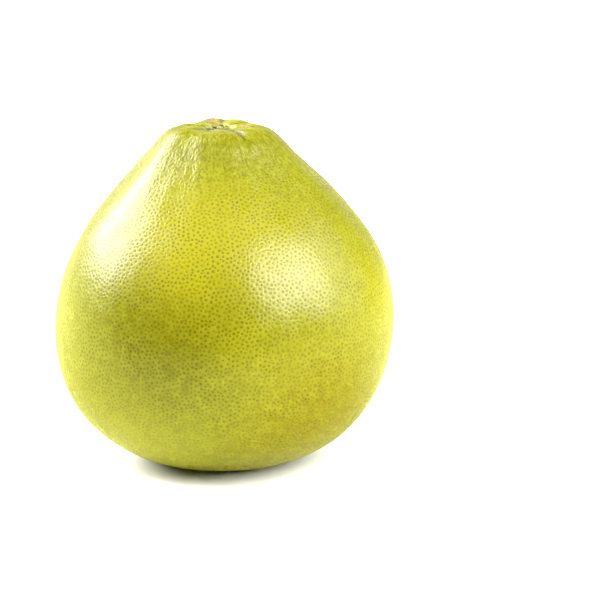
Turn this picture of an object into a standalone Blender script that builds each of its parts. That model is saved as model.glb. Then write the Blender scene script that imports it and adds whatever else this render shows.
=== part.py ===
"""A whole pomelo as picked: the fruit, and the stem button in its dimple.

Metres, +Z up. The fruit stands on the flat spot of its base at z = 0, with the
origin at the middle of that spot. The stem end is on top, and the side that
faces a viewer is -Y.
"""

import math

import bmesh
import bpy
from mathutils import Vector, geometry

# Fruit: overall sizes
FRUIT_WIDTH = 0.150            # across the widest ring
FRUIT_HEIGHT = 0.1500          # from the rest to the crown
WIDEST_HEIGHT = 0.0635         # height of the widest ring

# Fruit: outline below and above the widest ring
REST_RADIUS = 0.016            # flat spot that it stands on
BASE_REACH = 0.036             # how far the base stays low around the spot
BELLY_REACH = 0.036            # roundness just below the widest ring
FLANK_REACH = 0.0375           # roundness just above the widest ring
NECK_RADIUS = 0.0310           # where the flank turns in to the crown
NECK_DROP = 0.0105             # how far the neck is below the crown
NECK_LEAN = math.radians(43)   # the flank's lean there, from upright
NECK_REACH_BELOW = 0.022
NECK_REACH_ABOVE = 0.006
CROWN_RADIUS = 0.0165          # highest ring
CROWN_REACH = 0.007

# Stem button: a low star of five withered sepals with a cut stem in the middle
BUTTON_RADIUS = 0.0047
BUTTON_THICKNESS = 0.0019
SEPAL_COUNT = 5
SEPAL_NOTCH = 0.16             # depth of the notch between sepals, as a part of the radius
STUB_RADIUS = 0.0018
STUB_HEIGHT = 0.0004           # above the sepals

# Dimple that the button sits in
SEAT_GAP = 0.0003              # between the button and the dimple's floor
DIMPLE_MARGIN = 0.0009         # around the button
BUTTON_COVER = 0.0002          # from the top of the stub up to the lip
CROWN_DISH = 0.0004            # how far the lip lies below the crown
LIP_ROUND = 0.0018             # radius of the rounded lip

# Sizes of the dimple that follow from the button
DIMPLE_RADIUS = BUTTON_RADIUS + DIMPLE_MARGIN
LIP_HEIGHT = FRUIT_HEIGHT - CROWN_DISH
BUTTON_SEAT = LIP_HEIGHT - BUTTON_COVER - STUB_HEIGHT - BUTTON_THICKNESS
DIMPLE_FLOOR = BUTTON_SEAT - SEAT_GAP

# How the axis of the fruit bows to +X, and how far the crown stands off to -X
SWAY = 0.0027
SWAY_HEIGHT = 0.096
SWAY_SPREAD = 0.045
CROWN_SHIFT = -0.0016

# Broad lobes of the rind: number round the fruit, height of each wave, turn in degrees
LOBES = [(2, 0.0006, 0), (3, 0.0007, 60), (5, 0.0004, 36)]

# Folds that run down from the crown: direction in degrees, half width in degrees, height
# (a furrow has a height below zero)
FOLDS = [
    (8, 9, 0.0006),
    (48, 10, -0.0006),
    (85, 12, 0.0002),
    (128, 10, -0.0007),
    (172, 14, 0.0006),
    (196, 8, -0.0009),
    (220, 9, 0.0010),
    (246, 8, -0.0006),
    (276, 10, 0.0004),
    (303, 8, -0.0009),
    (336, 11, 0.0003),
]
FOLD_FADE_TOP = 0.018          # folds are at full height down to here below the crown
FOLD_FADE_END = 0.048          # and are gone here

# Lobes fade out near the rest: none below the first height, full above the second
LOBE_START = 0.006
LOBE_FULL = 0.045

# Fineness of the solids
FRUIT_STEPS = 80
BUTTON_STEPS = 60

RIND_GREEN = (0.52, 0.56, 0.04)
BUTTON_OLIVE = (0.17, 0.17, 0.04)


def clear_scene():
    for old in list(bpy.data.objects):
        bpy.data.objects.remove(old, do_unlink=True)


def make_material(name, colour, roughness):
    material = bpy.data.materials.new(name)
    material.use_nodes = True
    shader = material.node_tree.nodes["Principled BSDF"]
    shader.inputs["Base Color"].default_value = (*colour, 1.0)
    shader.inputs["Roughness"].default_value = roughness
    shader.inputs["Metallic"].default_value = 0.0
    return material


def add_object(name, mesh_builder, material):
    mesh = bpy.data.meshes.new(name)
    mesh_builder.to_mesh(mesh)
    mesh_builder.free()
    mesh.materials.append(material)
    mesh.shade_smooth()
    mesh.set_sharp_from_angle(angle=math.radians(50))
    model = bpy.data.objects.new(name, mesh)
    bpy.context.scene.collection.objects.link(model)
    return model


def smooth_step(low, high, value):
    share = min(1.0, max(0.0, (value - low) / (high - low)))
    return share * share * (3.0 - 2.0 * share)


def bell(offset, half_width):
    return math.exp(-((offset / half_width) ** 2))


def fruit_outline():
    """Half outline from the base's middle, up the outer side, to the dimple's middle."""
    lean_up = Vector((-math.sin(NECK_LEAN), 0, math.cos(NECK_LEAN)))
    rest_edge = Vector((REST_RADIUS, 0, 0))
    widest = Vector((FRUIT_WIDTH / 2, 0, WIDEST_HEIGHT))
    neck = Vector((NECK_RADIUS, 0, FRUIT_HEIGHT - NECK_DROP))
    crown = Vector((CROWN_RADIUS, 0, FRUIT_HEIGHT))
    lip = Vector((DIMPLE_RADIUS + LIP_ROUND, 0, LIP_HEIGHT))
    wall_top = Vector((DIMPLE_RADIUS, 0, LIP_HEIGHT - LIP_ROUND))
    inward = Vector((-1, 0, 0))
    down = Vector((0, 0, -1))
    half_round = LIP_ROUND * 0.55

    # Each curve: start, its handle, the end's handle, end, number of edges
    curves = [
        (rest_edge, rest_edge - inward * BASE_REACH, widest + down * BELLY_REACH, widest, 13),
        (widest, widest - down * FLANK_REACH, neck - lean_up * NECK_REACH_BELOW, neck, 13),
        (neck, neck + lean_up * NECK_REACH_ABOVE, crown - inward * CROWN_REACH, crown, 5),
        (crown, crown + inward * (CROWN_RADIUS - lip.x) / 2, lip - inward * half_round, lip, 4),
        (lip, lip + inward * half_round, wall_top - down * half_round, wall_top, 3),
    ]
    points = [Vector((0, 0, 0)), rest_edge]
    for start, start_handle, end_handle, end, edges in curves:
        points += geometry.interpolate_bezier(start, start_handle, end_handle, end, edges + 1)[1:]
    points.append(Vector((DIMPLE_RADIUS, 0, DIMPLE_FLOOR)))
    points.append(Vector((0, 0, DIMPLE_FLOOR)))
    return points


def turn(points, steps):
    """Solid of revolution round Z from a half outline that starts and ends on the axis."""
    solid = bmesh.new()
    corners = [solid.verts.new(point) for point in points]
    edges = [solid.edges.new(pair) for pair in zip(corners, corners[1:])]
    bmesh.ops.spin(
        solid,
        geom=corners + edges,
        cent=(0, 0, 0),
        axis=(0, 0, 1),
        angle=math.tau,
        steps=steps,
        use_merge=True,
    )
    bmesh.ops.remove_doubles(solid, verts=solid.verts, dist=1e-6)
    bmesh.ops.recalc_face_normals(solid, faces=solid.faces)
    solid.normal_update()
    return solid


def fold_height(angle):
    """Height of the crown's folds in one direction, in metres."""
    total = 0.0
    for direction, half_width, height in FOLDS:
        offset = (angle - direction + 180) % 360 - 180
        total += height * bell(offset, half_width)
    return total


def lobe_height(angle):
    total = 0.0
    for count, height, start in LOBES:
        total += height * math.sin(math.radians(count * (angle - start)))
    return total


def rind_height(radius, height, angle):
    """How far the rind stands out from the plain turned shape, in metres."""
    below_crown = FRUIT_HEIGHT - height
    folds = fold_height(angle)
    folds *= smooth_step(DIMPLE_RADIUS + LIP_ROUND, CROWN_RADIUS, radius)
    folds *= 1 - smooth_step(FOLD_FADE_TOP, FOLD_FADE_END, below_crown)
    lobes = lobe_height(angle)
    lobes *= smooth_step(DIMPLE_RADIUS, NECK_RADIUS, radius)
    lobes *= smooth_step(LOBE_START, LOBE_FULL, height)
    return folds + lobes


def bow(height):
    """How far the axis stands to +X at a height."""
    if height <= 0:
        return 0.0
    return SWAY * bell(height - SWAY_HEIGHT, SWAY_SPREAD) + CROWN_SHIFT * (height / FRUIT_HEIGHT) ** 2


def shape_rind(solid):
    """Give the turned body its lobes, its folds round the crown and its sideways bow."""
    moves = []
    for vertex in solid.verts:
        radius = math.hypot(vertex.co.x, vertex.co.y)
        angle = math.degrees(math.atan2(vertex.co.y, vertex.co.x))
        move = vertex.normal * rind_height(radius, vertex.co.z, angle)
        move.x += bow(vertex.co.z)
        moves.append(move)
    for vertex, move in zip(solid.verts, moves):
        vertex.co += move


def make_fruit():
    solid = turn(fruit_outline(), FRUIT_STEPS)
    shape_rind(solid)
    return add_object("fruit", solid, make_material("rind", RIND_GREEN, 0.35))


def make_button():
    """Turned button, with notches between the sepals."""
    sepal_slope = BUTTON_THICKNESS * 0.35
    top = BUTTON_THICKNESS + STUB_HEIGHT
    outline = [
        (0, 0),
        (BUTTON_RADIUS * 0.9, 0),
        (BUTTON_RADIUS, BUTTON_THICKNESS * 0.3),
        (BUTTON_RADIUS * 0.93, BUTTON_THICKNESS - sepal_slope),
        (BUTTON_RADIUS * 0.65, BUTTON_THICKNESS),
        (STUB_RADIUS * 1.3, BUTTON_THICKNESS - sepal_slope),
        (STUB_RADIUS, BUTTON_THICKNESS),
        (STUB_RADIUS * 0.85, top),
        (0, top),
    ]
    solid = turn([Vector((radius, 0, height)) for radius, height in outline], BUTTON_STEPS)
    for vertex in solid.verts:
        radius = math.hypot(vertex.co.x, vertex.co.y)
        if radius > STUB_RADIUS * 1.1:
            angle = math.atan2(vertex.co.y, vertex.co.x)
            notch = SEPAL_NOTCH * (1 - abs(math.cos(angle * SEPAL_COUNT / 2)) ** 0.6)
            vertex.co.x *= 1 - notch
            vertex.co.y *= 1 - notch
    button = add_object("stem_button", solid, make_material("calyx", BUTTON_OLIVE, 0.7))
    button.location = (bow(DIMPLE_FLOOR), 0, BUTTON_SEAT)
    return button


clear_scene()
make_fruit()
make_button()
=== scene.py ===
"""Looks of a whole pomelo: pebbled rind, folded crown, withered stem button, pale floor, soft light.

Metres, +Z up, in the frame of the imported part. The viewer stands at -Y, with +X to the right.
"""

import math

import bmesh
import bpy
import numpy as np
from mathutils import Matrix, Vector, noise
from mathutils.bvhtree import BVHTree


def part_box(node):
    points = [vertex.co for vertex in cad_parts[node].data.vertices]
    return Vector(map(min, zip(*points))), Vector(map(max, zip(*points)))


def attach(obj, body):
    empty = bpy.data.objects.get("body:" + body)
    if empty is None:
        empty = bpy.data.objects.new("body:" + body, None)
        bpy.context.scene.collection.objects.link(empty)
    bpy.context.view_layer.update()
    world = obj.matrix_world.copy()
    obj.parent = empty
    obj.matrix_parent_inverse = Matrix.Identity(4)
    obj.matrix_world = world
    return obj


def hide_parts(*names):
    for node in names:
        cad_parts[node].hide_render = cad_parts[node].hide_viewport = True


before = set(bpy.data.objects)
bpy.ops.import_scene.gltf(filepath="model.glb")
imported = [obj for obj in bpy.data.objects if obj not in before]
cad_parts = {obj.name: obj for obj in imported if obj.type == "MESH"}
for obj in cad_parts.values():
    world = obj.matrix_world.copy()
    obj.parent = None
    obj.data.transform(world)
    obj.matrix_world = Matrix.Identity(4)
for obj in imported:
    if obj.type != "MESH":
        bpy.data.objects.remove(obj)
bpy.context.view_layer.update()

_, FRUIT_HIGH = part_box("fruit")
BUTTON_LOW, BUTTON_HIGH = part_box("stem_button")


def colour(red, green, blue):
    return (red, green, blue, 1.0)


# ---------------------------------------------------------------- values

# Places that follow from the CAD
STEM_X = (BUTTON_LOW.x + BUTTON_HIGH.x) / 2
STEM_Y = (BUTTON_LOW.y + BUTTON_HIGH.y) / 2
BUTTON_SEAT = BUTTON_LOW.z
HEART = Vector((0.0, 0.0, 0.45 * FRUIT_HIGH.z))        # every line out of here leaves the rind once
CROWN = Vector((STEM_X, STEM_Y, BUTTON_HIGH.z))

SEED = 11
REACH_TURNS = 24               # directions round the axis that a mean distance is taken over
POLAR_STEPS = 481              # angles from straight up to straight down
MERGE_DISTANCE = 1e-6

# Rind: oil glands
GLAND_SPACING = 0.00206
GLAND_JITTER = 0.45            # part of the spacing
CROWN_SPACING = 0.50           # glands crowd together to this part of their spacing at the crown
CROWD_START = 0.008            # distances from the axis
CROWD_END = 0.042
GOLDEN_TURN = math.pi * (3 - math.sqrt(5))
PIT_DEPTH = 0.000034
PIT_DEPTH_RANGE = (0.6, 1.4)   # parts of the depth
RIDGE_HEIGHT = 0.000016
RIDGE_HEIGHT_RANGE = (0.4, 1.6)
PIT_WIDTH = 0.62               # part of the way from a gland's middle to its corners
PIT_END = 0.001                # this deep in the dimple there are no pits any more

# Rind: dimple round the stem button
DIMPLE_FLOOR = BUTTON_SEAT - 0.0003
DIMPLE_FLOOR_RADIUS = 0.0050
DIMPLE_LIP_RADIUS = 0.0064
DIMPLE_FILL_RADIUS = DIMPLE_LIP_RADIUS - 0.0012        # the CAD dimple is cut away and filled within this
LIP_WOBBLE = 0.0006
LIP_WOBBLE_LENGTH = 0.004

# Rind: soft waves, as (length, height)
WAVES = [(0.022, 0.00024), (0.009, 0.00010), (0.0042, 0.00005)]
WAVE_STEP = 7.3                # each wave's noise is taken this much further along
CALM_BASE = 0.012              # there is no relief at the rest, and full relief from here up

# Rind: folds that leave the dimple, as (direction in degrees, half width, height, start, end,
# turn in degrees by the end). Distances are from the stem button; a furrow's height is below zero.
FOLDS = [
    (-113, 0.0034, 0.0004, 0.014, 0.040, 0),
    (-176, 0.0015, 0.0005, 0.006, 0.017, 8),
    (169, 0.0020, -0.0010, 0.006, 0.024, 0),
    (150, 0.0014, 0.0004, 0.008, 0.024, 8),
    (-72, 0.0040, 0.0003, 0.016, 0.034, -4),
    (-50, 0.0013, -0.0008, 0.009, 0.024, -9),
    (-59, 0.0014, 0.0003, 0.009, 0.022, -9),
    (-30, 0.0016, 0.0003, 0.010, 0.024, 8),
    (-8, 0.0013, -0.0004, 0.008, 0.022, 0),
    (30, 0.0016, 0.0005, 0.006, 0.018, 4),
    (104, 0.0040, 0.0012, 0.007, 0.022, 0),
    (62, 0.0025, 0.0005, 0.008, 0.026, 0),
    (84, 0.0016, -0.0004, 0.008, 0.024, 0),
    (128, 0.0016, -0.0005, 0.008, 0.030, 5),
    (46, 0.0015, -0.0006, 0.008, 0.034, -8),
    (14, 0.0022, 0.0003, 0.012, 0.028, 6),
]
FOLD_RISE = (0.6, 1.5)         # a fold rises between these parts of its start
FOLD_FALL = (0.55, 1.2)        # and falls between these parts of its end
FOLD_SPREAD = 1.2              # it reaches no further round than this, in radians
# narrow folds also get painted highlight on their ridges and painted shade in their furrows
NARROW_FOLD = 0.0030           # folds up to this half width are tinted too
FOLDS_END = 0.050              # no fold or pucker reaches further from the stem button

# Rind: puckers close round the dimple, and wrinkles on the crown. Distances are from the stem button.
PUCKER_TURNS = 17 * 1.6 / math.tau
PUCKER_HEIGHT = 0.00064
PUCKER_RISE = (0.0045, 0.0075)
PUCKER_FALL = (0.010, 0.019)
WRINKLE_HEIGHT = 0.00022
WRINKLE_RISE = (0.008, 0.014)
WRINKLE_FADE = (0.020, 0.070)
WRINKLE_TURNS = 6.0
WRINKLE_LENGTH = 0.016
FINE_WRINKLE_LENGTH = 0.012

# Rind: UV map
MAP_TURN = math.radians(45)
MAP_INSET = 0.006

# Rind: colours
RIND_GREEN = colour(0.249, 0.249, 0.004)
RIND_YELLOW = colour(0.425, 0.378, 0.010)
RIND_LIME = colour(0.233, 0.242, 0.006)
GLAND_SHADE = colour(0.50, 0.46, 0.0)    # the rind's colour is multiplied by this in a gland
# painted highlight on fold ridges, and painted shade in fold furrows
FOLD_PAINTED_HIGHLIGHT = colour(0.40, 0.39, 0.05)
FOLD_PAINTED_SHADE = colour(0.105, 0.098, 0.0)
STREAK_DARK = colour(0.110, 0.104, 0.0)
STREAK_PALE = colour(0.33, 0.33, 0.020)
NETWORK_PALE = colour(0.36, 0.36, 0.022)
NECK_OLIVE_AND_PAINTED_SHADE = colour(0.168, 0.158, 0.0)
# ripe amber hue, darkened as painted shadow
AMBER_AND_PAINTED_SHADOW = colour(0.235, 0.188, 0.0)
SCAR_PINK = colour(0.50, 0.29, 0.11)
# painted highlight on the lip round the dimple
LIP_PAINTED_HIGHLIGHT = colour(0.46, 0.44, 0.12)
# painted shade for the rind down in the dimple round the stem button
DIMPLE_PAINTED_SHADE = colour(0.075, 0.062, 0.006)
GLOSS_TINT = colour(1.0, 1.0, 0.92)

# Rind: patches, as (direction in degrees, height, size, strength)
OVAL_HALF_HEIGHT = 0.58 * FRUIT_HIGH.z       # of the oval round the heart that patches are placed on
PATCH_FADE = (1.7, 0.1)        # a patch fades in between these parts of its size
RIPE_PATCHES = [
    (-98, 0.115, 0.033, 0.9),
    (-58, 0.112, 0.024, 0.35),
    (-20, 0.085, 0.022, 0.4),
    (60, 0.070, 0.040, 0.6),
    (150, 0.100, 0.030, 0.5),
]
LIME_PATCHES = [
    (-85, 0.030, 0.030, 0.7),
    (-122, 0.075, 0.030, 0.5),
    (100, 0.045, 0.035, 0.6),
]
# ripe amber colour, darkened as painted shadow low at the front right
AMBER_AND_PAINTED_SHADOW_PATCHES = [(-50, 0.036, 0.034, 0.9)]
# painted shade: olive darkening on the front below the middle, and painted shadow low at the front right
PAINTED_SHADE_PATCHES = [
    (-108, 0.074, 0.034, 0.9),
    (-66, 0.010, 0.030, 0.6),
]

# Rind: corky scars near the crown, as (x, y, size) from the stem button
SCARS = [
    (-0.0030, 0.0105, 0.0032),
    (0.0103, 0.0010, 0.0017),
    (0.0125, -0.0003, 0.0014),
    (-0.012, 0.009, 0.0015),
]
SCAR_FADE = (1.3, 0.3)         # a scar fades in between these parts of its size
SCAR_DROP = 0.001              # from the fruit's top down to the scars

# Rind: sizes of the marks in its material
DOT_RADII = (0.00048, 0.00064)
DOT_PART = 0.5                 # a dot is no wider than this part of its gland
DRIFT_SIZE = 0.045
DOT_FADE_SIZE = 0.012
GLOSS_SIZE = 0.006
MOTTLE_SIZE = 0.0035
LIP_GRAIN_SIZE = 0.0030
CORK_SIZE = 0.0018
FINE_SIZE = 0.0007
STREAK_TURNS = 30.0
STREAK_LENGTH = 0.0022
FOLD_TINT_START = 0.00008      # heights of a fold
FOLD_TINT_FULL = 0.0004
SUBSURFACE_RADIUS = (0.0030, 0.0028, 0.0006)

# Rind: heights of the marks in its material
BOWL_HEIGHT = 0.00004
FINE_HEIGHT = 0.000012
SCAR_HEIGHT = 0.0006
STREAK_HEIGHT = 0.00026

# Rind: where its marks fade, as (none, full) in distances from the stem button
DOT_FADE = (0.018, 0.055)
NECK_FADE = (0.042, 0.020)
LIP_FADE = (0.0084, 0.0062)
LIP_DULL = (0.0085, 0.0065)
NECK_DULL = (0.045, 0.018)
STREAK_START = (0.007, 0.012)
STREAK_END = (0.065, 0.030)
DIMPLE_SHADE = (0.0075, 0.0066)
DIMPLE_SHADE_DEPTH = (0.0005, 0.0018)    # below the button's top

# Stem button
SEPALS = 5
SEPAL_TURN = math.radians(20)
STUB_RADIUS = 0.0013
BUTTON_LIFT = 0.0004           # above the CAD button, in the middle
BUTTON_TILT = 0.16             # up to the back
BUTTON_WIDTH_PART = 0.97       # of the CAD button
SEPAL_NOTCH = 0.14             # depth of the notch between sepals, as a part of the radius
BUTTON_ROUNDS = 34
BUTTON_TURNS = 120
MOAT_WIDTH = 0.00048           # of the furrow round the cut stem
MOAT_DEPTH = 0.0009
STUB_DISH = 0.00022
STUB_GRAIN_LENGTH = 0.0006
SEPAL_LUMP_LENGTH = 0.0015
SEPAL_WRINKLE = 0.00020
SEPAL_WRINKLE_LENGTH = 0.0014
SEPAL_GREEN = colour(0.14, 0.14, 0.003)
SEPAL_YELLOW = colour(0.27, 0.26, 0.02)
SEPAL_BROWN = colour(0.11, 0.075, 0.02)
CUT_PALE = colour(0.50, 0.33, 0.13)
CUT_BROWN = colour(0.34, 0.24, 0.07)
# painted shade for the button's creases, rim and underside
CREASE_PAINTED_SHADE = colour(0.016, 0.009, 0.003)
SEPAL_PATCH_SIZE = 0.0016
SEPAL_GRAIN_SIZE = 0.0004
SEPAL_GRAIN_HEIGHT = 0.00012

# Camera
VIEW_ELEVATION = math.radians(13)
VIEW_DISTANCE = 1.3
VIEW_AIM = Vector((0.0345, 0.0, 0.0718))
FRAME_WIDTH = 0.2663           # seen at the aim's distance
SENSOR = 0.036

# Floor. What it sheds on the fruit is warm near by, and dark beyond the table's front.
FLOOR_RADIUS = 4.0
TABLE_FRONT = 0.20
TABLE_FRONT_BLUR = 0.15
FLOOR_MOTTLE_SIZE = 0.2
HORIZON_FADE = (0.5, 1.5)      # the floor turns white to look at between these distances
FLOOR_WHITES = (colour(0.90, 0.90, 0.89), colour(0.93, 0.93, 0.92))
FLOOR_SHED = colour(0.88, 0.88, 0.40)
ROOM_SHED = colour(0.03, 0.03, 0.03)
WHITE = colour(1, 1, 1)

# Softboxes, as (name, direction and height above the heart in degrees, width, height, watts)
SOFTBOXES = [
    ("key_left", 159, 36.5, 2.7, 2.15, 300.0),
    ("key_right", -35, 34, 2.2, 2.0, 168.0),
    ("fill_right", -6, 24, 2.6, 2.6, 52.0),
    ("overhead_front", -98, 66, 2.0, 1.3, 6.0),
]
SOFTBOX_DISTANCE = 3.0


# ---------------------------------------------------------------- short calls

def smooth_step(low, high, value):
    share = min(1.0, max(0.0, (value - low) / (high - low)))
    return share * share * (3.0 - 2.0 * share)


def unit(vectors):
    return vectors / np.linalg.norm(vectors, axis=1, keepdims=True)


def mesh_from(body, name):
    mesh = bpy.data.meshes.new(name)
    body.to_mesh(mesh)
    body.free()
    return mesh


def add_object(name, mesh):
    model = bpy.data.objects.new(name, mesh)
    bpy.context.scene.collection.objects.link(model)
    return model


def new_material(name):
    """A material, its node tree, its shader and its coordinates on the object."""
    material = bpy.data.materials.new(name)
    material.use_nodes = True
    tree = material.node_tree
    place = add_node(tree, "TexCoord").outputs["Object"]
    return material, tree, tree.nodes["Principled BSDF"], place


def connect(tree, source, socket):
    if isinstance(source, bpy.types.NodeSocket):
        tree.links.new(source, socket)
    else:
        socket.default_value = source


def add_node(tree, kind, inputs=None, **settings):
    node = tree.nodes.new("ShaderNode" + kind)
    for name, value in settings.items():
        setattr(node, name, value)
    for key, source in (inputs or {}).items():
        connect(tree, source, node.inputs[key])
    return node


def calc(tree, operation, *values):
    return add_node(tree, "Math", dict(enumerate(values)), operation=operation).outputs[0]


def times(tree, first, *others):
    for other in others:
        first = calc(tree, "MULTIPLY", first, other)
    return first


def plus(tree, first, *others):
    for other in others:
        first = calc(tree, "ADD", first, other)
    return first


def between(tree, value, low, high, start=0.0, end=1.0):
    """Smooth share of the way from low to high, as a number from start to end."""
    inputs = {"Value": value, "From Min": low, "From Max": high, "To Min": start, "To Max": end}
    return add_node(tree, "MapRange", inputs, interpolation_type="SMOOTHSTEP").outputs[0]


def mix(tree, share, first, second, mode="MIX"):
    inputs = {0: share, 6: first, 7: second}
    return add_node(tree, "Mix", inputs, data_type="RGBA", blend_type=mode).outputs[2]


def cloud(tree, place, size, detail=2.0, roughness=0.5):
    """Noise from 0 to 1 whose blobs are about size across."""
    inputs = {"Vector": place, "Scale": 1 / size, "Detail": detail, "Roughness": roughness}
    return add_node(tree, "TexNoise", inputs).outputs["Fac"]


def vector_calc(tree, operation, first, second):
    return add_node(tree, "VectorMath", {0: first, 1: second}, operation=operation)


def distance_to(tree, place, point):
    return vector_calc(tree, "DISTANCE", place, point).outputs["Value"]


def split(tree, vector):
    return add_node(tree, "SeparateXYZ", {0: vector}).outputs


def attribute(tree, name, output="Fac"):
    return add_node(tree, "Attribute", attribute_name=name).outputs[output]


def set_bump(tree, shader, height):
    bump = add_node(tree, "Bump", {"Height": height, "Strength": 1.0, "Distance": 1.0})
    connect(tree, bump.outputs["Normal"], shader.inputs["Normal"])


# ---------------------------------------------------------------- rind: where the glands are

def smooth_rind():
    """Search tree of a smooth copy of the CAD rind, with its dimple filled over."""
    body = bmesh.new()
    body.from_mesh(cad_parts["fruit"].data)
    bmesh.ops.remove_doubles(body, verts=body.verts, dist=MERGE_DISTANCE)
    inner = []
    for vertex in body.verts:
        offset = math.hypot(vertex.co.x - STEM_X, vertex.co.y - STEM_Y)
        if offset < DIMPLE_FILL_RADIUS and vertex.co.z > HEART.z:
            inner.append(vertex)
    bmesh.ops.delete(body, geom=inner, context="VERTS")
    rim = [edge for edge in body.edges if edge.is_boundary]
    bmesh.ops.contextual_create(body, geom=rim)
    bmesh.ops.join_triangles(
        body,
        faces=body.faces,
        angle_face_threshold=math.radians(30),
        angle_shape_threshold=math.radians(60),
    )
    guide = add_object("smooth_rind", mesh_from(body, "smooth_rind"))
    rounding = guide.modifiers.new("rounding", "SUBSURF")
    rounding.levels = 3
    graph = bpy.context.evaluated_depsgraph_get()
    tree = BVHTree.FromObject(guide, graph)
    bpy.data.objects.remove(guide, do_unlink=True)
    return tree


def mean_reach(tree, polar):
    """Mean distance from the heart to the rind at each angle from straight up."""
    turns = np.linspace(0, math.tau, REACH_TURNS, endpoint=False)
    reach = []
    for angle in polar:
        flat = math.sin(angle)
        total = 0.0
        for turn in turns:
            way = Vector((flat * math.cos(turn), flat * math.sin(turn), math.cos(angle)))
            total += tree.ray_cast(HEART, way)[3]
        reach.append(total / len(turns))
    return np.array(reach)


def crowding(polar, ring):
    """Part of the full gland spacing at each angle from straight up."""
    share = np.clip((ring - CROWD_START) / (CROWD_END - CROWD_START), 0, 1)
    share = np.where(polar > math.pi / 2, 1.0, share)
    return CROWN_SPACING + (1 - CROWN_SPACING) * share


def gland_directions(tree):
    """Directions from the heart to the glands: a jittered spiral, even over the rind's area
    but closer together at the crown."""
    polar = np.linspace(0, math.pi, POLAR_STEPS)
    reach = mean_reach(tree, polar)
    along = np.hypot(reach, np.gradient(reach, polar))
    ring = reach * np.sin(polar)
    spacing = GLAND_SPACING * crowding(polar, ring)
    strip = math.tau * ring * along / (spacing**2 * math.sqrt(3) / 2)
    tally = np.concatenate([[0], np.cumsum((strip[1:] + strip[:-1]) / 2 * np.diff(polar))])
    count = int(tally[-1])

    chance = np.random.default_rng(SEED)
    angle = np.interp((np.arange(count) + 0.5) / count * tally[-1], tally, polar)
    turn = np.arange(count) * GOLDEN_TURN
    jitter = chance.uniform(-1, 1, (count, 2)) * GLAND_JITTER
    jitter *= np.interp(angle, polar, spacing)[:, None]
    turn = turn + jitter[:, 0] / np.maximum(np.interp(angle, polar, ring), GLAND_SPACING)
    angle = angle + jitter[:, 1] / np.interp(angle, polar, along)
    flat = np.sin(angle)
    return np.stack([flat * np.cos(turn), flat * np.sin(turn), np.cos(angle)], 1)


def join_neighbours(directions):
    """Triangles between neighbouring glands, from the hull of their directions, and the
    directions that it joins."""
    hull = bmesh.new()
    for direction in directions:
        hull.verts.new(direction)
    hull.verts.index_update()
    bmesh.ops.convex_hull(hull, input=hull.verts)
    triangles = np.array([[vertex.index for vertex in face.verts] for face in hull.faces])
    hull.free()
    joined, triangles = np.unique(triangles, return_inverse=True)
    return directions[joined], triangles.reshape(-1, 3)


def spread_out(directions, triangles):
    """Move each gland to the middle of the triangles round it, which evens out their spacing."""
    corners = unit(directions[triangles].sum(1))
    moved = np.zeros_like(directions)
    for k in range(3):
        np.add.at(moved, triangles[:, k], corners)
    return unit(moved)


# ---------------------------------------------------------------- rind: the glands' pits

def gland_rings(directions, triangles):
    """Directions of the triangles' middles, the triangles round each gland in order, as one
    list, and where each gland's part of the list starts."""
    corners = unit(directions[triangles].sum(1))
    gland = triangles.ravel()
    corner = np.repeat(np.arange(len(triangles)), 3)
    side = unit(np.cross(np.array([0.0, 0.0, 1.0]), directions) + 1e-9)
    up = np.cross(directions, side)
    offset = corners[corner] - directions[gland]
    angle = np.arctan2((offset * up[gland]).sum(1), (offset * side[gland]).sum(1))
    order = np.lexsort((angle, gland))
    starts = np.searchsorted(gland[order], np.arange(len(directions) + 1))
    return corners, corner[order], starts


def pit_floor(direction, offsets, held):
    """Three corners of a pit's floor. Each lies inside the outer corners of the edges that it holds."""
    count = len(offsets)
    floor = []
    for k in range(3):
        near = set()
        for edge in range(count):
            if held[edge] == k:
                near.update((edge, (edge + 1) % count))
        floor.append(direction + PIT_WIDTH * offsets[sorted(near)].mean(0))
    return floor


def pit_faces(outer, inner, held):
    """A pit's floor, and the triangles between it and the ridge round it."""
    faces = [tuple(inner)]
    for k, corner in enumerate(outer):
        following = (k + 1) % len(outer)
        faces.append((corner, outer[following], inner[held[k]]))
        if held[following] != held[k]:
            faces.append((outer[following], inner[held[following]], inner[held[k]]))
    return faces


def gland_mesh(directions, triangles):
    """Vertices as directions and heights, and faces with their glands: each gland is a pit
    with three corners on its floor, and glands share the ridges between them."""
    corners, ring, starts = gland_rings(directions, triangles)
    chance = np.random.default_rng(SEED + 1)
    ridge = RIDGE_HEIGHT * chance.uniform(*RIDGE_HEIGHT_RANGE, len(corners))
    depth = PIT_DEPTH * chance.uniform(*PIT_DEPTH_RANGE, len(directions))
    pits = np.zeros((len(directions), 3, 3))
    sizes = np.zeros(len(directions))
    faces = []
    owners = []
    for gland, direction in enumerate(directions):
        outer = ring[starts[gland]:starts[gland + 1]]
        inner = [len(corners) + 3 * gland + k for k in range(3)]
        held = [k * 3 // len(outer) for k in range(len(outer))]
        offsets = corners[outer] - direction
        sizes[gland] = np.linalg.norm(offsets, axis=1).mean()
        pits[gland] = pit_floor(direction, offsets, held)
        made = pit_faces(outer, inner, held)
        faces += made
        owners += [gland] * len(made)
    ways = np.concatenate([corners, unit(pits.reshape(-1, 3))])
    heights = np.concatenate([ridge, -np.repeat(depth, 3)])
    return ways, heights, faces, np.array(owners), sizes


# ---------------------------------------------------------------- rind: relief

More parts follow.
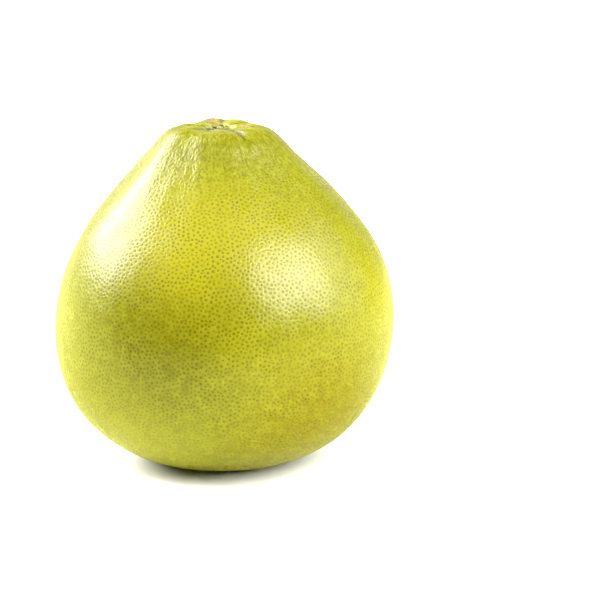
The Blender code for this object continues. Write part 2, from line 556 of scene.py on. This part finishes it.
def fold_relief(reach, angle, widest=1.0):
    """Height of the folds at a distance from the stem button, in one direction in degrees.
    Folds with a half width above the widest are left out."""
    total = 0.0
    for direction, half_width, height, start, end, turn in FOLDS:
        if half_width > widest or not start * FOLD_RISE[0] < reach < end * FOLD_FALL[1]:
            continue
        middle = direction + turn * (reach - start) / (end - start)
        offset = math.radians((angle - middle + 180) % 360 - 180)
        if abs(offset) > FOLD_SPREAD:
            continue
        sideways = reach * math.sin(offset) / half_width
        shown = smooth_step(start * FOLD_RISE[0], start * FOLD_RISE[1], reach)
        shown *= 1 - smooth_step(end * FOLD_FALL[0], end * FOLD_FALL[1], reach)
        total += height * shown * math.exp(-sideways * sideways)
    return total


def pucker_relief(offset):
    """Height of the small folds close round the dimple, at an offset from the stem button."""
    angle = math.atan2(offset.y, offset.x)
    flat = math.hypot(offset.x, offset.y)
    pucker = noise.noise(Vector((math.cos(angle), math.sin(angle), 0.4)) * PUCKER_TURNS)
    shown = smooth_step(*PUCKER_RISE, flat) * (1 - smooth_step(*PUCKER_FALL, flat))
    return PUCKER_HEIGHT * pucker * shown


def wrinkle_relief(reach, angle):
    """Height of the wrinkles at a distance from the stem button, in one direction in radians."""
    shown = smooth_step(*WRINKLE_RISE, reach) * (1 - smooth_step(*WRINKLE_FADE, reach))
    ways = Vector((math.cos(angle), math.sin(angle), 0)) * WRINKLE_TURNS
    wrinkle = noise.noise(ways + Vector((0, 0, reach / WRINKLE_LENGTH)))
    wrinkle += 0.7 * noise.noise(ways * 2.3 + Vector((3.1, 0, reach / FINE_WRINKLE_LENGTH)))
    return WRINKLE_HEIGHT * shown * wrinkle


def rind_relief(place):
    """How far the rind stands out from its smooth form."""
    total = 0.0
    for index, (length, height) in enumerate(WAVES):
        total += height * noise.noise(place / length + Vector((WAVE_STEP * index, 0, 0)))
    offset = place - CROWN
    reach = offset.length
    if place.z > HEART.z and reach < WRINKLE_FADE[1]:
        angle = math.atan2(offset.y, offset.x)
        total += wrinkle_relief(reach, angle)
        total += fold_relief(reach, math.degrees(angle))
        total += pucker_relief(offset)
    return total * smooth_step(0.0, CALM_BASE, place.z)


def dimple_drop(place):
    """How far the dimple sinks the filled crown at a place."""
    flat = math.hypot(place.x - STEM_X, place.y - STEM_Y)
    if flat > DIMPLE_LIP_RADIUS + LIP_WOBBLE or place.z < HEART.z:
        return 0.0
    wobble = LIP_WOBBLE * noise.noise(Vector((place.x, place.y, 0)) / LIP_WOBBLE_LENGTH)
    share = 1 - smooth_step(DIMPLE_FLOOR_RADIUS, DIMPLE_LIP_RADIUS, flat + wobble)
    return share * (place.z - DIMPLE_FLOOR)


# ---------------------------------------------------------------- rind: mesh

def place_vertices(tree, ways, heights):
    """Places of vertices from their directions and heights: on the smooth form, raised by the
    relief, and sunk where the dimple is."""
    places = np.zeros_like(ways)
    for index, (way, height) in enumerate(zip(ways, heights)):
        place, normal, _, _ = tree.ray_cast(HEART, Vector(way))
        sunk = dimple_drop(place)
        calm = 1 - min(1.0, sunk / PIT_END)
        place = place + normal * (rind_relief(place) + height * calm)
        place.z = max(place.z - sunk, 0.0)
        places[index] = place
    return places


def pit_folds(pits):
    """Height of the narrow folds and the puckers at each gland, which sets painted highlight where it is
    raised and painted shade where it is sunk.
    """
    folds = np.zeros(len(pits))
    for index, pit in enumerate(pits):
        offset = Vector(pit) - CROWN
        if offset.length < FOLDS_END:
            angle = math.degrees(math.atan2(offset.y, offset.x))
            folds[index] = fold_relief(offset.length, angle, NARROW_FOLD) + 2 * pucker_relief(offset)
    return folds


def add_face_values(mesh, name, kind, field, values):
    layer = mesh.attributes.new(name, kind, "FACE")
    layer.data.foreach_set(field, values.astype(np.float32).ravel())


def square_map(corner_ways, middles):
    """Equal-area map of the corners' directions on a square from -1 to 1. The upper half is a
    diamond in its middle. The faces' middles tell which quarter each face is in."""
    sides = np.where(middles[:, None, :2] < 0, -1.0, 1.0)
    below = middles[:, None, 2] < 0
    across = corner_ways[:, :, 0] * sides[:, :, 0]
    deep = corner_ways[:, :, 1] * sides[:, :, 1]
    size = np.sqrt(np.maximum(0, 1 - np.abs(corner_ways[:, :, 2])))
    high = size * (np.arctan2(deep, across) / (math.pi / 2))
    wide = size - high
    wide, high = np.where(below, 1 - high, wide), np.where(below, 1 - wide, high)
    return np.stack([wide * sides[:, :, 0], high * sides[:, :, 1]], -1)


def lay_out_map(mesh):
    """UV map of the rind on one square, with its seams down four lines below the middle."""
    loops = np.zeros(len(mesh.loops), np.int32)
    mesh.loops.foreach_get("vertex_index", loops)
    places = np.zeros(len(mesh.vertices) * 3, np.float32)
    mesh.vertices.foreach_get("co", places)
    ways = unit(places.reshape(-1, 3).astype(float) - np.array(HEART))
    corner_ways = ways[loops].reshape(-1, 3, 3)
    middles = unit(corner_ways.sum(1))
    turned = np.array(Matrix.Rotation(MAP_TURN, 3, "Z"))
    spread = square_map(corner_ways @ turned, middles @ turned)
    spread = 0.5 + spread * (0.5 - MAP_INSET)
    layer = mesh.uv_layers.new(name="OFBake")
    layer.data.foreach_set("uv", spread.astype(np.float32).ravel())


def make_rind(material):
    tree = smooth_rind()
    directions, triangles = join_neighbours(gland_directions(tree))
    directions, triangles = join_neighbours(spread_out(directions, triangles))
    ways, heights, faces, owners, sizes = gland_mesh(directions, triangles)
    places = place_vertices(tree, ways, heights)
    pits = places[-3 * len(directions):].reshape(-1, 3, 3).mean(1)
    sizes *= np.linalg.norm(pits - np.array(HEART), axis=1)

    mesh = bpy.data.meshes.new("rind")
    mesh.from_pydata(places, [], faces)
    mesh.materials.append(material)
    mesh.shade_smooth()
    add_face_values(mesh, "gland_centre", "FLOAT_VECTOR", "vector", pits[owners])
    add_face_values(mesh, "gland_radius", "FLOAT", "value", sizes[owners])
    add_face_values(mesh, "fold", "FLOAT", "value", pit_folds(pits)[owners])
    lay_out_map(mesh)
    return add_object("rind", mesh)


# ---------------------------------------------------------------- rind: material

def rind_point(direction, height):
    """Point near the rind at a height, in a direction in degrees."""
    turn = math.radians(direction)
    rise = (height - HEART.z) / OVAL_HALF_HEIGHT
    reach = FRUIT_HIGH.x * math.sqrt(1 - rise**2)
    return (reach * math.cos(turn), reach * math.sin(turn), height)


def patch_share(tree, place, patches):
    total = 0.0
    for direction, height, size, strength in patches:
        offset = distance_to(tree, place, rind_point(direction, height))
        share = between(tree, offset, size * PATCH_FADE[0], size * PATCH_FADE[1], 0, strength)
        total = plus(tree, total, share)
    return calc(tree, "MINIMUM", total, 1.0)


def scar_share(tree, place, cork):
    total = 0.0
    for x, y, size in SCARS:
        offset = distance_to(tree, place, (STEM_X + x, STEM_Y + y, FRUIT_HIGH.z - SCAR_DROP))
        total = plus(tree, total, between(tree, offset, size * SCAR_FADE[0], size * SCAR_FADE[1]))
    return times(tree, calc(tree, "MINIMUM", total, 1.0), between(tree, cork, 0.35, 0.6, 0.1, 0.8))


def crown_streaks(tree, place, reach):
    """Fine wrinkles that run down from the stem button, and how far they show at a place."""
    offset = split(tree, vector_calc(tree, "SUBTRACT", place, tuple(CROWN)).outputs[0])
    turn = calc(tree, "ARCTAN2", offset["Y"], offset["X"])
    sideways = add_node(tree, "CombineXYZ", {
        0: times(tree, calc(tree, "COSINE", turn), STREAK_TURNS),
        1: times(tree, calc(tree, "SINE", turn), STREAK_TURNS),
        2: calc(tree, "DIVIDE", reach, STREAK_LENGTH),
    }).outputs[0]
    lines = cloud(tree, sideways, 1.0)
    shown = times(tree, between(tree, reach, *STREAK_START), between(tree, reach, *STREAK_END))
    return lines, shown


def gland_marks(tree, place):
    """Each gland's dot, of its own size, and the bowl that it lies in."""
    centre = attribute(tree, "gland_centre", "Vector")
    gland_radius = attribute(tree, "gland_radius")
    chance = add_node(tree, "TexWhiteNoise", {"Vector": centre}, noise_dimensions="3D").outputs["Value"]
    offset = distance_to(tree, place, centre)
    dot_radius = between(tree, chance, 0, 1, *DOT_RADII)
    dot_radius = calc(tree, "MINIMUM", dot_radius, times(tree, gland_radius, DOT_PART))
    dot = between(tree, calc(tree, "DIVIDE", offset, dot_radius), 1.25, 0.65)
    bowl = between(tree, calc(tree, "DIVIDE", offset, gland_radius), 0.0, 1.0)
    return dot, bowl


def ground_colour(tree, place, reach):
    """Green, with riper and limier patches, darker patches of painted shade and painted shadow, an olive
    neck and fine mottling.
    """
    drift = cloud(tree, place, DRIFT_SIZE, 3, 0.6)
    ripe = plus(tree, patch_share(tree, place, RIPE_PATCHES), between(tree, drift, 0.5, 0.8, 0, 0.5))
    mottle = cloud(tree, place, MOTTLE_SIZE, 3, 0.6)
    base = mix(tree, patch_share(tree, place, LIME_PATCHES), RIND_GREEN, RIND_LIME)
    # painted shade and painted shadow, as darker olive patches
    base = mix(tree, patch_share(tree, place, PAINTED_SHADE_PATCHES), base, NECK_OLIVE_AND_PAINTED_SHADE)
    base = mix(tree, calc(tree, "MINIMUM", ripe, 1.0), base, RIND_YELLOW)
    # ripe amber, darkened as painted shadow at the lower front right
    base = mix(tree, patch_share(tree, place, AMBER_AND_PAINTED_SHADOW_PATCHES), base, AMBER_AND_PAINTED_SHADOW)
    base = mix(tree, between(tree, reach, *NECK_FADE, 0.0, 0.6), base, NECK_OLIVE_AND_PAINTED_SHADE)
    return mix(tree, between(tree, mottle, 0.3, 0.75, 0.0, 0.5), base, NETWORK_PALE)


def dot_colour(tree, place, reach, dot, base):
    """The glands' dots on the ground. They are fainter in places, and near the crown."""
    fade = between(tree, cloud(tree, place, DOT_FADE_SIZE), 0.25, 0.7, 0.6, 1.0)
    strength = times(tree, dot, fade, between(tree, reach, *DOT_FADE, 0.25, 1.0))
    return mix(tree, strength, base, GLAND_SHADE, "MULTIPLY")


def fold_colour(tree, lines, shown, base):
    """Pale and dark streaks, then painted highlight on the narrow folds' ridges and painted shade in
    their furrows.
    """
    fold = attribute(tree, "fold")
    base = mix(tree, times(tree, between(tree, lines, 0.52, 0.66, 0, 0.8), shown), base, STREAK_PALE)
    base = mix(tree, times(tree, between(tree, lines, 0.47, 0.36, 0, 0.4), shown), base, STREAK_DARK)
    # painted highlight on fold ridges and painted shade in fold furrows
    base = mix(tree, between(tree, fold, FOLD_TINT_START, FOLD_TINT_FULL, 0, 0.5), base, FOLD_PAINTED_HIGHLIGHT)
    return mix(tree, between(tree, fold, -FOLD_TINT_START, -FOLD_TINT_FULL, 0, 0.7), base, FOLD_PAINTED_SHADE)


def crown_colour(tree, place, reach, scars, base):
    """The lip round the stem button paled as painted highlight, the corky scars and the painted shade
    down in the dimple.
    """
    grain = between(tree, cloud(tree, place, LIP_GRAIN_SIZE, 3, 0.6), 0.3, 0.7, 0.2, 0.7)
    # painted highlight: the lip round the dimple is paled to cream, in grains
    base = mix(tree, times(tree, between(tree, reach, *LIP_FADE), grain), base, LIP_PAINTED_HIGHLIGHT)
    base = mix(tree, scars, base, SCAR_PINK)
    # painted shade: the rind darkens inside the dimple, below the button's top
    flat_place = vector_calc(tree, "MULTIPLY", place, (1, 1, 0)).outputs[0]
    inside = between(tree, distance_to(tree, flat_place, (STEM_X, STEM_Y, 0)), *DIMPLE_SHADE)
    shallow, deep = DIMPLE_SHADE_DEPTH
    sunk = between(tree, split(tree, place)["Z"], BUTTON_HIGH.z - shallow, BUTTON_HIGH.z - deep)
    return mix(tree, times(tree, inside, sunk), base, DIMPLE_PAINTED_SHADE)


def rind_roughness(tree, place, reach, dot):
    """Glossy in patches, and duller in the dots, on the neck and on the lip."""
    gloss = between(tree, cloud(tree, place, GLOSS_SIZE), 0.2, 0.8, 0.24, 0.34)
    lip = between(tree, reach, *LIP_DULL, 0.0, 0.25)
    neck = between(tree, reach, *NECK_DULL, 0.0, 0.06)
    return plus(tree, gloss, times(tree, dot, 0.06), lip, neck)


def make_rind_material():
    material, tree, shader, place = new_material("pomelo_rind")
    reach = distance_to(tree, place, tuple(CROWN))
    dot, bowl = gland_marks(tree, place)
    lines, shown = crown_streaks(tree, place, reach)
    cork = cloud(tree, place, CORK_SIZE, 4, 0.7)
    scars = scar_share(tree, place, cork)

    base = ground_colour(tree, place, reach)
    base = dot_colour(tree, place, reach, dot, base)
    base = fold_colour(tree, lines, shown, base)
    base = crown_colour(tree, place, reach, scars, base)
    connect(tree, base, shader.inputs["Base Color"])
    connect(tree, rind_roughness(tree, place, reach, dot), shader.inputs["Roughness"])
    shader.inputs["IOR"].default_value = 1.45
    shader.inputs["Specular Tint"].default_value = GLOSS_TINT
    shader.inputs["Subsurface Weight"].default_value = 0.12
    shader.inputs["Subsurface Radius"].default_value = SUBSURFACE_RADIUS
    shader.inputs["Subsurface Scale"].default_value = 1.0

    set_bump(tree, shader, plus(
        tree,
        times(tree, bowl, BOWL_HEIGHT),
        times(tree, cloud(tree, place, FINE_SIZE), FINE_HEIGHT),
        times(tree, cork, scars, SCAR_HEIGHT),
        times(tree, lines, shown, STREAK_HEIGHT),
    ))
    return material


# ---------------------------------------------------------------- stem button

def sepal_height(full, share, groove, moat, wrinkle, spot):
    """Height of the withered sepals: lumpy, lower at the rim and in the grooves between them."""
    height = full * (0.86 + 0.22 * noise.noise(spot / SEPAL_LUMP_LENGTH + Vector((0, 9, 0))))
    height *= 1 - 0.7 * smooth_step(0.84, 1.0, share) - 0.5 * groove * smooth_step(0.3, 0.6, share)
    return height + SEPAL_WRINKLE * wrinkle - MOAT_DEPTH * moat


def stub_height(full, radius, stub, spot):
    """Height of the cut stem: nearly flat, and a little dished."""
    grain = noise.noise(spot / STUB_GRAIN_LENGTH)
    return full * (0.90 + 0.05 * grain) - STUB_DISH * (1 - (radius / stub) ** 2)


def button_surface(share, angle):
    """Radius, height above the seat, painted shade of the creases and share of the cut stem, on the
    button's top at a share of its radius."""
    ways = Vector((math.cos(angle), math.sin(angle), 0))
    leaf = abs(math.cos((angle - SEPAL_TURN) * SEPALS / 2)) ** 0.6
    rim = (BUTTON_HIGH.x - BUTTON_LOW.x) / 2 * BUTTON_WIDTH_PART
    radius = share * rim * (1 - SEPAL_NOTCH * (1 - leaf) + 0.05 * noise.noise(ways * 2.4))
    stub = STUB_RADIUS * (1 + 0.14 * noise.noise(ways * 1.7 + Vector((5, 0, 0))))
    spot = Vector((radius * ways.x, radius * ways.y, 0))
    full = BUTTON_HIGH.z - BUTTON_LOW.z + BUTTON_LIFT + BUTTON_TILT * spot.y

    groove = 1 - smooth_step(0.0, 0.42, leaf)
    moat = math.exp(-(((radius - stub * 1.3) / MOAT_WIDTH) ** 2))
    wrinkle = noise.noise(Vector((ways.x * 3.5, ways.y * 3.5, radius / SEPAL_WRINKLE_LENGTH)))
    inside = 1 - smooth_step(stub * 0.88, stub * 1.08, radius)
    sepal_top = sepal_height(full, share, groove, moat, wrinkle, spot)
    stub_top = stub_height(full, radius, stub, spot)
    height = min(full, sepal_top * (1 - inside) + stub_top * inside)
    # painted shade: the moat round the cut stem, the grooves between sepals, the rim and the wrinkles'
    # hollows are darkened
    crease_shade = min(1.0, moat + groove * smooth_step(0.25, 0.5, share) + smooth_step(0.88, 1.0, share))
    crease_shade = max(crease_shade, smooth_step(0.16, 0.38, -wrinkle) * (1 - inside))
    return radius, height, crease_shade, inside


def button_vertex(body, share, angle):
    """Vertex of the button's top, with the painted shade of its creases and its share of the cut stem."""
    radius, height, crease_shade, inside = button_surface(share, angle)
    x = STEM_X + radius * math.cos(angle)
    y = STEM_Y + radius * math.sin(angle)
    vertex = body.verts.new((x, y, BUTTON_SEAT + height))
    vertex[body.verts.layers.float["crease_shade"]] = crease_shade
    vertex[body.verts.layers.float["cut"]] = inside
    return vertex


def add_tip(body):
    """Vertex in the middle of the cut stem."""
    _, height, _, inside = button_surface(0.001, 0)
    tip = body.verts.new((STEM_X, STEM_Y, BUTTON_SEAT + height))
    tip[body.verts.layers.float["cut"]] = inside
    return tip


def make_button(material):
    body = bmesh.new()
    body.verts.layers.float.new("crease_shade")
    body.verts.layers.float.new("cut")
    angles = [math.tau * n / BUTTON_TURNS for n in range(BUTTON_TURNS)]
    rings = []
    for k in range(1, BUTTON_ROUNDS + 1):
        rings.append([button_vertex(body, k / BUTTON_ROUNDS, angle) for angle in angles])
    under = [body.verts.new((v.co.x, v.co.y, BUTTON_SEAT)) for v in rings[-1]]
    # painted shade: the button's underside is fully darkened
    for vertex in under:
        vertex[body.verts.layers.float["crease_shade"]] = 1.0
    rings.append(under)
    tip = add_tip(body)
    base = body.verts.new((STEM_X, STEM_Y, BUTTON_SEAT))
    for n in range(BUTTON_TURNS):
        following = (n + 1) % BUTTON_TURNS
        body.faces.new((tip, rings[0][n], rings[0][following]))
        body.faces.new((base, under[following], under[n]))
        for inner, outer in zip(rings, rings[1:]):
            body.faces.new((inner[n], outer[n], outer[following], inner[following]))
    mesh = mesh_from(body, "withered_calyx")
    mesh.materials.append(material)
    mesh.shade_smooth()
    return add_object("withered_calyx", mesh)


def make_button_material():
    material, tree, shader, place = new_material("withered_calyx")
    patches = cloud(tree, place, SEPAL_PATCH_SIZE, 3, 0.6)
    grain = cloud(tree, place, SEPAL_GRAIN_SIZE, 3, 0.6)
    sepal = mix(tree, between(tree, patches, 0.35, 0.65), SEPAL_GREEN, SEPAL_YELLOW)
    sepal = mix(tree, between(tree, grain, 0.35, 0.8, 0, 0.5), sepal, SEPAL_BROWN)
    face = mix(tree, between(tree, grain, 0.3, 0.7), CUT_PALE, CUT_BROWN)
    base = mix(tree, attribute(tree, "cut"), sepal, face)
    # painted shade in the button's creases
    base = mix(tree, between(tree, attribute(tree, "crease_shade"), 0.25, 0.85), base, CREASE_PAINTED_SHADE)
    connect(tree, base, shader.inputs["Base Color"])
    connect(tree, between(tree, grain, 0.2, 0.8, 0.55, 0.85), shader.inputs["Roughness"])
    set_bump(tree, shader, times(tree, grain, SEPAL_GRAIN_HEIGHT))
    return material


# ---------------------------------------------------------------- stage, light and camera

def make_floor_material():
    """White to look at. Other rays see what the floor sheds on the fruit."""
    material, tree, shader, place = new_material("pale_floor")
    seen = add_node(tree, "LightPath").outputs["Is Camera Ray"]
    white = mix(tree, cloud(tree, place, FLOOR_MOTTLE_SIZE), *FLOOR_WHITES)
    beyond = between(tree, split(tree, place)["Y"], -TABLE_FRONT, -TABLE_FRONT - TABLE_FRONT_BLUR)
    shed = mix(tree, beyond, FLOOR_SHED, ROOM_SHED)
    away = between(tree, distance_to(tree, place, (0, 0, 0)), *HORIZON_FADE)
    connect(tree, mix(tree, seen, shed, white), shader.inputs["Base Color"])
    connect(tree, times(tree, away, seen), shader.inputs["Emission Strength"])
    shader.inputs["Emission Color"].default_value = WHITE
    shader.inputs["Roughness"].default_value = 0.9
    shader.inputs["Specular IOR Level"].default_value = 0.1
    return material


def make_floor():
    body = bmesh.new()
    bmesh.ops.create_circle(body, cap_ends=True, segments=96, radius=FLOOR_RADIUS)
    mesh = mesh_from(body, "floor")
    mesh.materials.append(make_floor_material())
    floor = add_object("floor", mesh)


def make_lights():
    for name, direction, rise, width, height, watts in SOFTBOXES:
        light = bpy.data.lights.new(name, "AREA")
        light.shape = "RECTANGLE"
        light.size = width
        light.size_y = height
        light.energy = watts
        lamp = bpy.data.objects.new(name, light)
        turn = math.radians(direction)
        lift = math.radians(rise)
        way = Vector((math.cos(turn) * math.cos(lift), math.sin(turn) * math.cos(lift), math.sin(lift)))
        lamp.location = HEART + way * SOFTBOX_DISTANCE
        lamp.rotation_euler = way.to_track_quat("Z", "Y").to_euler()
        bpy.context.scene.collection.objects.link(lamp)


def make_world():
    """White to look at. What it sheds on the fruit is bright behind and dim in front."""
    world = bpy.data.worlds.new("studio")
    bpy.context.scene.world = world
    world.use_nodes = True
    tree = world.node_tree
    background = tree.nodes["Background"]
    way = split(tree, add_node(tree, "TexCoord").outputs["Generated"])
    seen = add_node(tree, "LightPath").outputs["Is Camera Ray"]
    back = calc(tree, "SUBTRACT", way["Y"], times(tree, way["X"], 0.3))
    behind = between(tree, back, 0.05, 0.7)
    low = between(tree, way["Z"], 0.7, 0.2)
    left = between(tree, way["X"], 0.8, -0.3, 0.4, 1.0)
    glow = times(tree, behind, low, left)
    connect(tree, calc(tree, "MAXIMUM", seen, glow), background.inputs["Strength"])
    background.inputs["Color"].default_value = WHITE


def make_camera():
    lens = bpy.data.cameras.new("camera")
    lens.sensor_width = SENSOR * 1000
    lens.lens = SENSOR * 1000 * VIEW_DISTANCE / FRAME_WIDTH
    lens.clip_end = 50
    camera = bpy.data.objects.new("camera", lens)
    back = Vector((0, -math.cos(VIEW_ELEVATION), math.sin(VIEW_ELEVATION)))
    camera.location = VIEW_AIM + back * VIEW_DISTANCE
    camera.rotation_euler = back.to_track_quat("Z", "Y").to_euler()
    bpy.context.scene.collection.objects.link(camera)
    bpy.context.scene.camera = camera


# ---------------------------------------------------------------- build

rind = make_rind(make_rind_material())
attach(rind, "root")
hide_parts("fruit")

calyx = make_button(make_button_material())
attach(calyx, "root")
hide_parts("stem_button")

make_floor()
make_lights()
make_world()
make_camera()
bpy.context.scene.view_settings.view_transform = "Standard"
